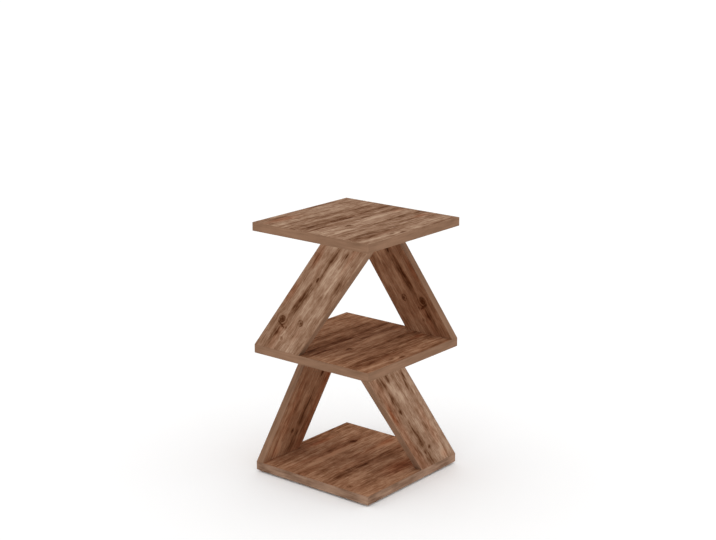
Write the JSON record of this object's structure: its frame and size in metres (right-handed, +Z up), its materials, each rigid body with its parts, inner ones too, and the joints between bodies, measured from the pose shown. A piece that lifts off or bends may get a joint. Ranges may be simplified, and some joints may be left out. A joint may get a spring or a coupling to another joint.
{
  "type": "tiered side table",
  "caption": "Square side table: open shelves stacked one above the other, held apart at their sides by leaning board panels, in wood-print board. Holds a lamp, books or plants.",
  "frame": {"origin": "on the floor under the middle of the table, on the plane of the glides' undersides", "axes": "+Z up, +Y from the front to the back, +X to the right; the upper tier's panels stand at front and back, the lower tier's at left and right"},
  "size_m": [0.3, 0.3, 0.54],
  "materials": {
    "printed_board": "matt wood print on chipboard",
    "edge_band": "matt, in the board's middle tone",
    "cap_print": "matt wood print",
    "dowel_wood": "raw, fluted",
    "plated_steel": "bright zinc plate",
    "cast_zinc": "dull die casting",
    "glide_plastic": "matt, worn flat underneath"
  },
  "bodies": {
    "root": {"top_shelf": "printed_board", "middle_shelf": "printed_board", "bottom_shelf": "printed_board", "upper_front_panel": "printed_board", "upper_back_panel": "printed_board", "lower_left_panel": "printed_board", "lower_right_panel": "printed_board", "top_shelf_front_band": "edge_band", "top_shelf_right_band": "edge_band", "top_shelf_back_band": "edge_band", "top_shelf_left_band": "edge_band", "middle_shelf_front_band": "edge_band", "middle_shelf_right_band": "edge_band", "middle_shelf_back_band": "edge_band", "middle_shelf_left_band": "edge_band", "bottom_shelf_front_band": "edge_band", "bottom_shelf_right_band": "edge_band", "bottom_shelf_back_band": "edge_band", "bottom_shelf_left_band": "edge_band", "upper_front_panel_corner_band": "edge_band", "upper_front_panel_inner_band": "edge_band", "upper_back_panel_corner_band": "edge_band", "upper_back_panel_inner_band": "edge_band", "lower_left_panel_corner_band": "edge_band", "lower_left_panel_inner_band": "edge_band", "lower_right_panel_corner_band": "edge_band", "lower_right_panel_inner_band": "edge_band", "dowels": "dowel_wood", "cam_bolts": "plated_steel", "cam_locks": "cast_zinc", "cam_caps": "cap_print", "floor_glides": "glide_plastic", "glide_nails": "plated_steel"}
  },
  "joints": []
}
